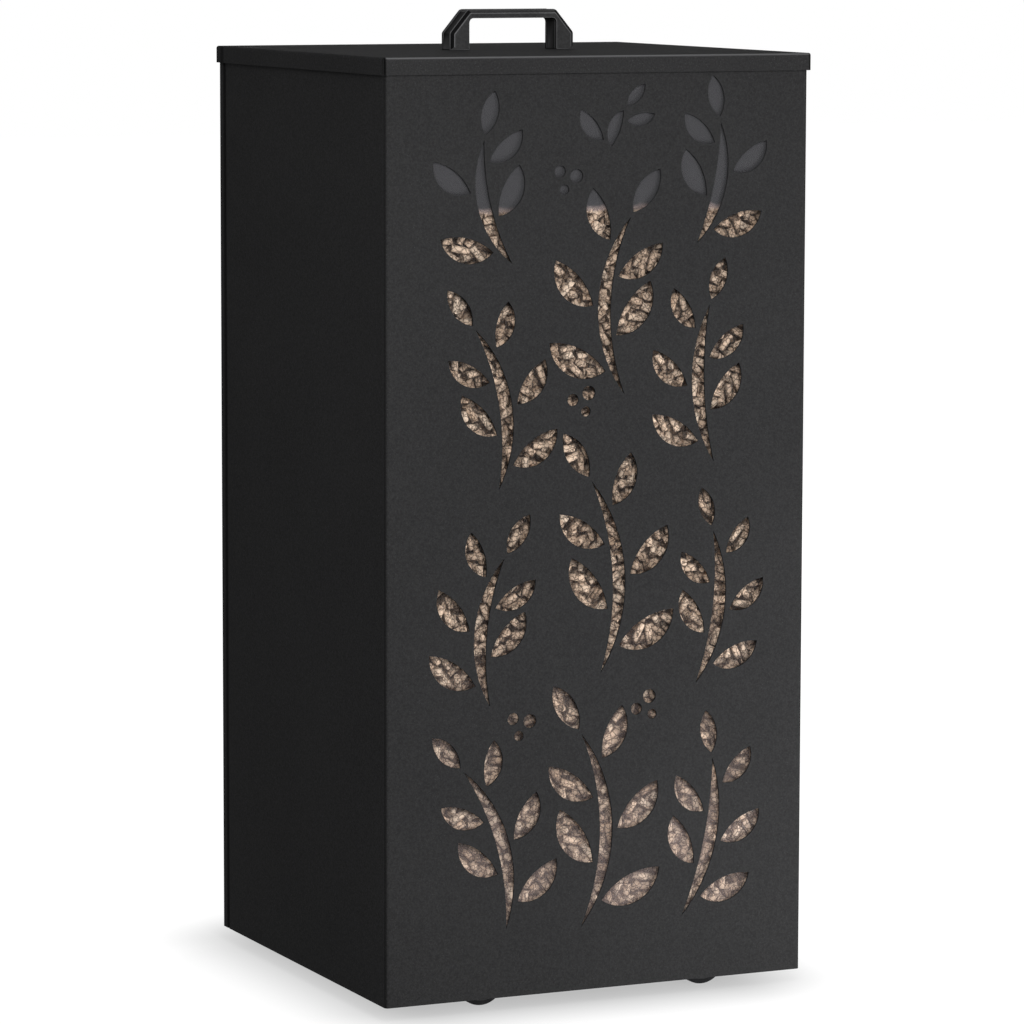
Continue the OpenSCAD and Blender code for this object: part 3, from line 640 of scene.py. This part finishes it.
fillLook = {
    "diameter": 0.006,
    "rounds": [(0.012, 0.018), (0.009, 0.013), (0.0065, 0.009)],      # seen lengths, longest first
    "spacing": 0.88,      # least distance between two axes, in diameters
    "axisEnd": 0.35,      # an axis stops this short of each end, in diameters
    "step": 0.0028,
    "square": 0.001,      # what is covered is kept on squares of this side
    "mostRods": 9000,
    "turns": 10,      # directions tried at each spot
    "steep": 0.45,      # share of pellets that lean well out of their layer
    "steepTilt": (0.35, 1.05),      # radians
    "flatTilt": 0.08,
    "endSeen": 0.8,      # how much of a leaning pellet's end adds to its seen length, in diameters
    "lengths": (0.005, 0.020),
    "sides": 10,
    "crumble": 0.0005,
    "crumbsPerMetre": 620.0,
    "crumbleSeed": 31.0,
    "tone": 0.68,      # mean and spread, and how much darker per metre of depth, as painted shade
    "toneSpread": 0.14,
    "depthShade": 16.0,
    "leastTone": 0.02,
    "wallGap": 0.0004,
}
paneSide = {      # pellets against the pane
    "name": "pane_pellets",
    "depths": (0.0, 0.0053, 0.0106),
    "scatter": 0.0008,
    "lipGap": 0.0008,      # from the rails' lips
    "rodSeed": 31,
    "tiltSeed": 81,
    "toneSeed": 31,
}
topSide = {      # pellets on top of the heap
    "name": "top_pellets",
    "depths": (0.0, 0.0052),
    "scatter": 0.0012,
    "railGap": 0.001,      # beside a rail's lip, and how far behind the pane the rail reaches
    "railDepth": 0.0047,
    "seamGap": (0.0008, 0.0015),      # beside and in front of a rear seam
    "rodSeed": 51,
    "tiltSeed": 101,
    "toneSeed": 36,
}
coreLook = {
    "behind": 0.0150,      # it starts this far behind the heap's front, and ends this far below its top
    "below": 0.0105,
    "cuts": 31,
    "rough": 0.0016,
    "seamGap": (0.001, 0.002),      # beside and in front of a rear seam
    "coreShadeTone": 0.35,
    "seed": 121,
}


# Lays rods flat on a field, long ones first, so that none lies in another
def layRods(field, inside, look, seed):
    dice = np.random.default_rng(seed)
    width, square = look["diameter"], look["square"]
    cell = look["rounds"][0][1] + width
    filed, rods = {}, []
    axes = np.zeros((look["mostRods"], 2, 2))
    corner = np.array([low for low, high in field])
    squares = [np.arange(low, high, square) for low, high in field]
    covered = np.zeros([len(edge) for edge in squares], bool)
    across = [np.arange(low, high, look["step"]) for low, high in field]
    for shortest, longest in look["rounds"]:
        spots = np.stack(np.meshgrid(*across), -1).reshape(-1, 2)
        spots = spots + dice.uniform(-0.5, 0.5, spots.shape) * look["step"]
        dice.shuffle(spots)
        for spot in spots:
            i, j = np.clip(((spot - corner) / square).astype(int), 0, np.array(covered.shape) - 1)
            if covered[i, j]:
                continue
            column, row = int(spot[0] // cell), int(spot[1] // cell)
            near = [index for i in (-1, 0, 1) for j in (-1, 0, 1)
                    for index in filed.get((column + i, row + j), ())]
            length = dice.uniform(shortest, longest)
            turns = dice.uniform(0.0, math.pi, look["turns"])
            half = (length / 2 - look["axisEnd"] * width) * np.stack([np.cos(turns), np.sin(turns)], -1)
            tries = np.stack([spot - half, spot + half], 1)
            good = inside(tries[:, 0]) & inside(tries[:, 1])
            if near:
                good &= axisGap(tries, axes[near]).min(1) > look["spacing"] * width
            if good.any():
                chosen = int(np.argmax(good))
                axes[len(rods)] = tries[chosen]
                filed.setdefault((column, row), []).append(len(rods))
                rods.append((spot[0], spot[1], turns[chosen], length))
                cover(covered, squares, tries[chosen], look)
    return np.array(rods)


# Marks the squares that a rod with this axis covers
def cover(covered, squares, axis, look):
    first, last = axis
    width = look["diameter"]
    (left, right), (low, high) = [
        np.searchsorted(edge, [min(first[k], last[k]) - width, max(first[k], last[k]) + width])
        for k, edge in enumerate(squares)]
    spots = np.stack(np.meshgrid(squares[0][left:right], squares[1][low:high], indexing="ij"), -1)
    run = last - first
    share = np.clip(((spots - first) * run).sum(-1) / (run ** 2).sum(), 0.0, 1.0)
    gap = np.linalg.norm(spots - first - share[..., None] * run, axis=-1)
    covered[left:right, low:high] |= gap < look["spacing"] * width


# Some pellets lean well into the heap, so that they are longer than they look
def lean(dice, look, seen):
    steep = dice.uniform(size=len(seen)) < look["steep"]
    much = dice.uniform(*look["steepTilt"], len(seen))
    tilt = np.where(steep, much, dice.normal(0.0, look["flatTilt"], len(seen)))
    length = (seen - look["diameter"] * np.abs(np.sin(tilt)) * look["endSeen"]) / np.cos(tilt)
    return tilt * dice.choice([-1.0, 1.0], len(seen)), np.clip(length, *look["lengths"])


# Layers of pellets on one side of the heap, each a little less than a diameter behind the last. stand makes a
# point of two places in a layer and a depth, and turnTo does the same for a direction.
def layPellets(look, side, field, inside, stand, turnTo):
    radius = look["diameter"] / 2
    places, headings, lengths, depths = [], [], [], []
    for layer, depth in enumerate(side["depths"]):
        rods = layRods(field, inside, look, side["rodSeed"] + layer)
        dice = np.random.default_rng(side["tiltSeed"] + layer)
        across, along, turn, seen = rods.T
        tilt, length = lean(dice, look, seen)
        deep = (depth + radius * np.cos(tilt) + 0.5 * length * np.abs(np.sin(tilt))
                + dice.uniform(0.0, side["scatter"], len(rods)))
        places.append(np.stack(stand(across, along, deep), 1))
        flat = np.cos(tilt)
        headings.append(np.stack(turnTo(np.cos(turn) * flat, np.sin(turn) * flat, np.sin(tilt)), 1))
        lengths.append(length)
        depths.append(np.full(len(rods), depth))
    places, headings, lengths, depths = map(np.concatenate, (places, headings, lengths, depths))
    tones = np.random.default_rng(side["toneSeed"]).normal(look["tone"], look["toneSpread"], len(places))
    # deeper layers painted darker, as shade
    tones = np.clip(tones, look["leastTone"], 1.0) * (1.0 - look["depthShade"] * depths)
    name = side["name"]
    mesh = pointsMesh(name, places.tolist(), heading=headings, length=lengths, tone=tones)
    piece = grow(name, mesh, pellets, {
        "Diameter": look["diameter"], "Sides": look["sides"], "Crumble": look["crumble"],
        "Crumbs per metre": look["crumbsPerMetre"], "Crumble seed": look["crumbleSeed"],
        "Finish": finishes["pellet_wood"].material})
    for spent in ("heading", "length"):
        if spent in piece.data.attributes:
            piece.data.attributes.remove(piece.data.attributes[spent])
    print(name, len(places), "pellets,", len(piece.data.polygons), "faces")
    return settle(piece, "cabinet", "pellet_wood", "pellet_fill")


heapLow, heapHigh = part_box("pellet_fill")
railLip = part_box("window_rail_right")[0].x
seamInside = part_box("seam_return_right")[0]


def heapTop(x, y):      # the heap's top follows the same two arcs as its solid
    return heapHigh.z - crownRise * np.maximum((x / heapHigh.x) ** 2, (y / heapHigh.y) ** 2)


def layPane(look, side):
    radius = look["diameter"] / 2
    wide, foot = railLip - side["lipGap"], heapLow.z + look["wallGap"]

    def inside(end):
        return ((np.abs(end[:, 0]) < wide - radius) & (end[:, 1] > foot + radius)
                & (end[:, 1] < heapTop(end[:, 0], heapLow.y) - radius))

    def stand(x, z, deep):
        return x, heapLow.y + deep, z

    def turnTo(x, z, inward):
        return x, inward, z

    return layPellets(look, side, [(-wide, wide), (foot, heapHigh.z)], inside, stand, turnTo)


def layTop(look, side):
    radius = look["diameter"] / 2
    wide = heapHigh.x - look["wallGap"]
    beside, before = side["seamGap"]

    def inside(end):      # clear of the pane's rails and the rear seams
        x, y = np.abs(end[:, 0]), end[:, 1]
        front = np.where(x < railLip - side["railGap"] - radius, heapLow.y, heapLow.y + side["railDepth"])
        back = np.where(x < seamInside.x - beside - radius, heapHigh.y, seamInside.y - before)
        return (x < wide - radius) & (y > front + radius) & (y < back - radius)

    def stand(x, y, deep):
        return x, y, heapTop(x, y) - deep

    def turnTo(x, y, inward):
        return x, y, inward

    return layPellets(look, side, [(-wide, wide), (heapLow.y, heapHigh.y)], inside, stand, turnTo)


# The rest of the heap, behind those layers: a closed body with an uneven front and top
def heapCore(look):
    low = Vector((heapLow.x, heapLow.y + look["behind"], heapLow.z))
    beside, before = look["seamGap"]
    shape = bmesh.new()
    bmesh.ops.create_cube(shape, size=1.0)
    bmesh.ops.subdivide_edges(shape, edges=shape.edges[:], cuts=look["cuts"], use_grid_fill=True)
    dice = np.random.default_rng(look["seed"])
    for vertex in shape.verts:
        share = vertex.co + Vector((0.5, 0.5, 0.5))
        onFront, onTop = share.y < 0.01, share.z > 0.99
        x = low.x + share.x * (heapHigh.x - low.x)
        y = low.y + share.y * (heapHigh.y - low.y)
        top = float(heapTop(x, y)) - look["below"]
        dent = dice.uniform(0.0, look["rough"], 2)
        z = low.z + share.z * (top - low.z) - (dent[0] if onTop else 0.0)
        if abs(x) > seamInside.x - beside and y > seamInside.y - before:      # in front of the rear seams
            y = seamInside.y - before
        vertex.co = (x, y + (dent[1] if onFront else 0.0), z)
    piece = pieceOf(shape, "heap_core")
    # the core gets only dark tones: painted shade for the depth of the heap
    tones = dice.uniform(0.0, look["coreShadeTone"], len(piece.data.vertices))
    piece.data.attributes.new("tone", "FLOAT", "POINT").data.foreach_set("value", tones)
    piece.data.materials.append(finishes["pellet_wood"].material)
    return settle(piece, "cabinet", "pellet_wood", "pellet_fill")


pellets = pelletTree()
layPane(fillLook, paneSide)
layTop(fillLook, topSide)
heapCore(coreLook)
print("heap made")


# Closed outline with each corner turned into an arc of its own radius
def roundedOutline(corners, steps=5):
    points = []
    for index, (corner, radius) in enumerate(corners):
        here = Vector(corner)
        back = (Vector(corners[index - 1][0]) - here).normalized()
        ahead = (Vector(corners[(index + 1) % len(corners)][0]) - here).normalized()
        half = back.angle(ahead) / 2
        middle = here + (back + ahead).normalized() * (radius / math.sin(half))
        start = here + back * (radius / math.tan(half)) - middle
        sweep = start.angle_signed(here + ahead * (radius / math.tan(half)) - middle)
        for step in range(steps + 1):
            turn = Matrix.Rotation(-sweep * step / steps, 2)
            points.append(middle + turn @ start)
    return points


def makeHandle(look):
    low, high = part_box("lid_handle")
    end, top = high.x, high.z - low.z
    half = [((end, 0.0), look["footCorner"]), ((end, look["kneeHeight"]), look["kneeCorner"]),
            ((end - look["lean"], top), look["topCorner"])]
    inner = [((end - look["leg"], top - look["bar"]), look["innerCorner"]),
             ((end - look["leg"], 0.0), look["footCorner"])]
    corners = half + [((-x, z), r) for (x, z), r in reversed(half)]
    corners += [((-x, z), r) for (x, z), r in reversed(inner)] + inner
    outline = roundedOutline(corners)
    outside = len(outline) * 2 * len(half) // len(corners)      # how many points run over the outside

    def inset(outer, opening=0.0, short=3):      # moved in, but for the first points at each outer foot
        moved = []
        for index, point in enumerate(outline):
            along = (outline[(index + 1) % len(outline)] - outline[index - 1]).normalized()
            depth = outer if short <= index < outside - short else opening if index >= outside else 0.0
            moved.append(point + Vector((-along.y, along.x)) * depth)
        return moved

    # Rings from the broad face over its edge, the slope and the next edge to the channel, each with its
    # painted edge highlight
    slope, rim, soft = look["chamfer"], look["rim"], look["edgeRound"]
    steps = [(0.0, inset(slope + soft, soft), 0.0),
             (0.15 * soft, inset(slope + 0.12 * soft, 0.3 * soft), 1.0),
             (0.7 * soft, inset(slope - 0.7 * soft), 0.0),
             (slope - 0.7 * soft, inset(0.7 * soft), 0.0),
             (slope - 0.12 * soft, inset(0.15 * soft), 1.0),
             (slope + soft, inset(0.0), 0.0),
             (rim - 0.5 * soft, inset(0.0), 0.0),
             (rim, inset(0.25 * soft, short=6), look["rimHighlight"]),
             (rim, inset(look["recess"], short=6), 0.0)]
    rims = [(low.y + depth, ring, rubbed) for depth, ring, rubbed in steps]
    rims += [(high.y - depth, ring, rubbed) for depth, ring, rubbed in reversed(steps)]
    shape = bmesh.new()
    wearAndHighlight = shape.verts.layers.float.new("rubbed")
    rings = []
    for y, ring, rubbed in rims:
        rings.append([shape.verts.new((point.x, y, low.z + point.y)) for point in ring])
        for vertex in rings[-1]:
            vertex[wearAndHighlight] = rubbed
    joinRings(shape, rings)
    piece = pieceOf(shape, "bridge_handle", look["sharpDegrees"])
    piece.data.materials.append(finishes["handle_plastic"].material)
    even = piece.modifiers.new("even shading", "WEIGHTED_NORMAL")
    even.weight, even.keep_sharp = 100, True
    return settle(applied(piece), "lid", "handle_plastic", "lid_handle")


# Faces between each ring and the next, and over both ends
def joinRings(shape, rings, closed=False):
    for first, second in zip(rings, rings[1:]):
        for index in range(len(first)):
            shape.faces.new((first[index - 1], first[index], second[index], second[index - 1]))
    if not closed:
        shape.faces.new(rings[0])
        shape.faces.new(rings[-1])


makeHandle(handleLook)
print("handle made")


def copyTree():
    kit, given = openTree("copies at places", [
        ("Places", "Geometry"), ("Copied piece", "Object"), ("Size", "Float"), ("Finish", "Material")])
    source = kit.node("GeometryNodeObjectInfo", {}, {"Object": given.sibling("Copied piece")}, "Geometry")
    heading = kit.node("GeometryNodeInputNamedAttribute", {"data_type": "FLOAT_VECTOR"}, {"Name": "heading"})
    spin = kit.node("GeometryNodeInputNamedAttribute", {"data_type": "FLOAT"}, {"Name": "spin"})
    own = kit.node("FunctionNodeAxisAngleToRotation", {}, {"Axis": (0.0, 0.0, 1.0), "Angle": spin})
    turn = kit.node("FunctionNodeAlignRotationToVector", {"axis": "Z"}, {"Vector": heading})
    both = kit.node("FunctionNodeRotateRotation", {"rotation_space": "LOCAL"},
                    {"Rotation": turn, "Rotate By": own})
    copies = kit.node("GeometryNodeInstanceOnPoints", {}, {
        "Points": given.sibling("Places"), "Instance": source,
        "Rotation": both, "Scale": given.sibling("Size")})
    return closeTree(kit, copies, given.sibling("Finish"))


# Boxes of the separate solids in a CAD node, as (lowest corner, highest corner)
def solidsOf(node):
    shape = bmesh.new()
    shape.from_mesh(nodes[node].data)
    bmesh.ops.remove_doubles(shape, verts=shape.verts[:], dist=2 * mergeDistance)
    left, boxes = set(shape.verts), []
    for start in shape.verts:      # in their own order, so that every run finds the solids in the same one
        if start not in left:
            continue
        left.discard(start)
        todo, found = [start], {start}
        while todo:
            for edge in todo.pop().link_edges:
                for vertex in edge.verts:
                    if vertex in left:
                        left.discard(vertex)
                        found.add(vertex)
                        todo.append(vertex)
        places = np.array([vertex.co for vertex in found])
        boxes.append((Vector(places.min(0)), Vector(places.max(0))))
    shape.free()
    return boxes


# Closed body turned from (radius, height) steps; a step's third value is the width over its six flats
def turned(name, steps, sides=24, sharpDegrees=32.0):
    shape = bmesh.new()
    rings = []
    for radius, height, *flats in steps:
        ring = []
        for index in range(sides):
            angle = 2 * math.pi * index / sides
            reach = radius
            if flats:
                off = (angle + math.pi / 6) % (math.pi / 3) - math.pi / 6      # from the middle of a flat
                reach = min(radius, flats[0] / 2 / math.cos(off))
            ring.append(shape.verts.new((reach * math.cos(angle), reach * math.sin(angle), height)))
        rings.append(ring)
    joinRings(shape, rings, closed=steps[0][0] > 0.0 and steps[0] == steps[-1])
    return pieceOf(shape, name, sharpDegrees)


# One turned form, copied to every solid of a node. Each copy starts at its solid's low end on the axis, points
# along that axis, and is turned by a random number of sixths.
def fixings(name, node, body, form, axis):
    boxes = solidsOf(node)
    dice = np.random.default_rng(len(name))
    starts = []
    for low, high in boxes:
        place = (low + high) / 2
        place[axis] = low[axis]
        starts.append(place)
    heading = [0.0, 0.0, 0.0]
    heading[axis] = 1.0
    spins = dice.integers(0, 6, len(boxes)) * math.pi / 3
    mesh = pointsMesh(name, starts, heading=[heading] * len(boxes), spin=spins)
    piece = grow(name, mesh, copier, {
        "Copied piece": form, "Size": 1.0, "Finish": finishes["zinc_hardware"].material})
    bpy.data.objects.remove(form)
    print(name, len(boxes), "copies")
    return settle(piece, body, "zinc_hardware", node)


fixingLook = {
    "rivetHead": 0.0032, "rivetHeadHeight": 0.0010, "rivetShank": 0.0016, "rivetGrip": 0.0030,
    "rivetTail": 0.00256, "rivetTailHeight": 0.0015, "rivetSides": 16,
    "nutHeight": 0.0032, "nutFlats": 0.0070, "nutBore": 0.00205,
    "castorNutHeight": 0.0040, "castorNutFlats": 0.0080, "castorNutBore": 0.00255,
    "boreChamfer": 0.0003,
    "screwHead": 0.0045, "screwHeadHeight": 0.0020, "screwShank": 0.0025, "screwRecess": 0.0015,
}


def nutForm(name, height, flats, bore, chamfer):
    corner, mouth = flats / math.sqrt(3), bore + chamfer
    return turned(name, [
        (mouth, 0.0), (0.93 * corner, 0.0), (corner, 0.12 * height, flats), (corner, 0.88 * height, flats),
        (0.93 * corner, height), (mouth, height), (bore, 0.93 * height), (bore, 0.07 * height), (mouth, 0.0)])


def rivetForm(look):
    head, rise = look["rivetHead"], look["rivetHeadHeight"]
    shank, grip = look["rivetShank"], look["rivetGrip"]
    tail, swell = look["rivetTail"], look["rivetTailHeight"]
    turns = (0.25, 0.6, 0.95, 1.25, math.pi / 2)
    dome = [(head * math.sin(turn), rise * (1 - math.cos(turn))) for turn in turns]
    blind = [(head * 0.97, rise), (shank, rise), (shank, rise + grip), (tail * 0.9, rise + grip),
             (tail, rise + grip + 0.4 * swell), (tail * 0.75, rise + grip + 0.85 * swell),
             (tail * 0.35, rise + grip + swell)]
    return turned("rivet", dome + blind, look["rivetSides"])


def screwForm(look, length):      # head down, as it sits under the lid
    head, rise = look["screwHead"], look["screwHeadHeight"]
    shank, recess = look["screwShank"], look["screwRecess"]
    return turned("pan screw", [
        (0.6 * recess, 0.65 * rise), (recess, 0.03 * rise), (1.15 * recess, 0.0), (0.62 * head, 0.10 * rise),
        (0.88 * head, 0.38 * rise), (head, 0.78 * rise), (head, rise), (shank, rise),
        (shank, length - 0.4 * shank), (0.6 * shank, length)])


def makeFixings(look):
    fixings("domed_rivets", "seam_rivets", "cabinet", rivetForm(look), axis=1)
    stud = nutForm("stud nut", look["nutHeight"], look["nutFlats"], look["nutBore"], look["boreChamfer"])
    fixings("stud_nuts", "window_nuts", "cabinet", stud, axis=1)
    plate = nutForm("plate nut", look["castorNutHeight"], look["castorNutFlats"], look["castorNutBore"],
                    look["boreChamfer"])
    fixings("plate_nuts", "castor_nuts", "cabinet", plate, axis=2)
    low, high = solidsOf("handle_screws")[0]
    fixings("pan_screws", "handle_screws", "lid", screwForm(look, high.z - low.z), axis=2)


copier = copyTree()
makeFixings(fixingLook)
print("fixings made")

photoCamera = {
    "place": (-1.6393, -3.5902, 0.8543),
    "heading": 24.606,      # degrees to the right of straight at the front panel
    "tilt": 6.974,      # degrees down
    "roll": 0.133,
    "lens": 173.0,
    "sensor": 36.0,
    "farthest": 100.0,
}


def placeCamera(look):
    heading, tilt, roll = (math.radians(look[name]) for name in ("heading", "tilt", "roll"))
    ahead = Vector((math.sin(heading) * math.cos(tilt), math.cos(heading) * math.cos(tilt), -math.sin(tilt)))
    right = Vector((math.cos(heading), -math.sin(heading), 0.0))
    above = right.cross(ahead)
    axes = (math.cos(roll) * right + math.sin(roll) * above,
            math.cos(roll) * above - math.sin(roll) * right, -ahead)
    lens = bpy.data.cameras.new("photo camera")
    lens.lens, lens.sensor_width, lens.sensor_fit = look["lens"], look["sensor"], "HORIZONTAL"
    lens.clip_end = look["farthest"]
    camera = newObject("photo camera", lens)
    camera.matrix_world = Matrix.Translation(look["place"]) @ Matrix(axes).transposed().to_4x4()
    scene.camera = camera


studio = {
    "skyForObject": 0.33,
    "floorHalf": 14.0,
    "floorColour": (0.70, 0.70, 0.70),
    "seenFloorColour": (0.15, 0.15, 0.15),
    "glowNear": (0.48, 0.48, 0.48),
    "glowFar": (0.96, 0.96, 0.96),
    "shadeInside": 0.060,      # the floor's shade starts this far under the bin and ends this far outside it
    "shadeOutside": 0.075,
    "shadeBehind": 0.050,      # and this much further at the rear
    "shadeFull": 0.005,      # width of its darkest part
    "lamps": {
        "key": {"place": (-0.60, -1.7, 1.25), "aim": (-0.10, -0.17, 0.72), "side": 0.6, "watts": 24.0},
        "kick": {"place": (0.60, -0.80, 0.08), "aim": (0.05, -0.17, 0.05), "side": 0.3, "watts": 9.0},
        "rear": {"place": (2.6, 1.8, 0.95), "aim": (0.0, 0.17, 0.40), "side": 1.4, "watts": 60.0},
    },
}


# 1 where the background itself is seen: straight on, mirrored or through glass
def seen(kit):
    path = kit.node("ShaderNodeLightPath", out="Is Camera Ray")
    return path.larger(path.sibling("Is Glossy Ray")).larger(path.sibling("Is Transmission Ray"))


def buildSky(look):
    world = bpy.data.worlds.new("white studio")
    world.use_nodes = True
    world.node_tree.nodes.clear()
    kit = Kit(world.node_tree)
    glow = look["skyForObject"] + (1.0 - look["skyForObject"]) * seen(kit)
    sky = kit.node("ShaderNodeBackground", {}, {"Color": (1.0, 1.0, 1.0, 1.0), "Strength": glow})
    kit.node("ShaderNodeOutputWorld", {}, {"Surface": sky})
    scene.world = world


def floorFinish(look):      # lit as a plain floor, and seen pale with a soft shade round the bin
    finish = Finish("pale studio floor")
    x, y = finish.parts(finish.place)[:2]
    under, behind = look["shadeInside"], look["shadeBehind"] / 2
    outX = (x.size() - cadBox[1].x + under).larger(0.0)
    outY = ((y - behind).size() - behind - cadBox[1].y + under).larger(0.0)
    spread = (outX * outX + outY * outY) ** 0.5      # how far the floor is from the shade's middle
    glow = finish.blend(finish.rise(spread, look["shadeFull"], under + look["shadeOutside"]),
                        look["glowNear"], look["glowFar"])
    lit = finish.node("ShaderNodeBsdfDiffuse", {}, {"Color": (*look["floorColour"], 1.0)})
    matt = finish.node("ShaderNodeBsdfDiffuse", {}, {"Color": (*look["seenFloorColour"], 1.0)})
    light = finish.node("ShaderNodeEmission", {}, {"Color": glow, "Strength": 1.0})
    pale = finish.node("ShaderNodeAddShader", {}, {0: matt, 1: light})
    return finish.close(finish.node("ShaderNodeMixShader", {}, {0: seen(finish), 1: lit, 2: pale}))


def buildStudio(look):
    scene.view_settings.view_transform = "Standard"
    buildSky(look)
    mesh = bpy.data.meshes.new("studio floor")
    half = look["floorHalf"]
    corners = [(-half, -half, 0), (half, -half, 0), (half, half, 0), (-half, half, 0)]
    mesh.from_pydata(corners, [], [(0, 1, 2, 3)])
    mesh.materials.append(floorFinish(look).material)
    newObject("studio_floor", mesh)
    for name, given in look["lamps"].items():
        lamp = bpy.data.lights.new("soft " + name, "AREA")
        lamp.shape, lamp.size, lamp.energy = "SQUARE", given["side"], given["watts"]
        panel = newObject("soft " + name, lamp)
        aim = (Vector(given["aim"]) - Vector(given["place"])).to_track_quat("-Z", "Y")
        panel.matrix_world = Matrix.Translation(given["place"]) @ aim.to_matrix().to_4x4()
        panel.visible_glossy = False      # the pane doesn't mirror it


placeCamera(photoCamera)
buildStudio(studio)
print("camera, floor and lamps placed")
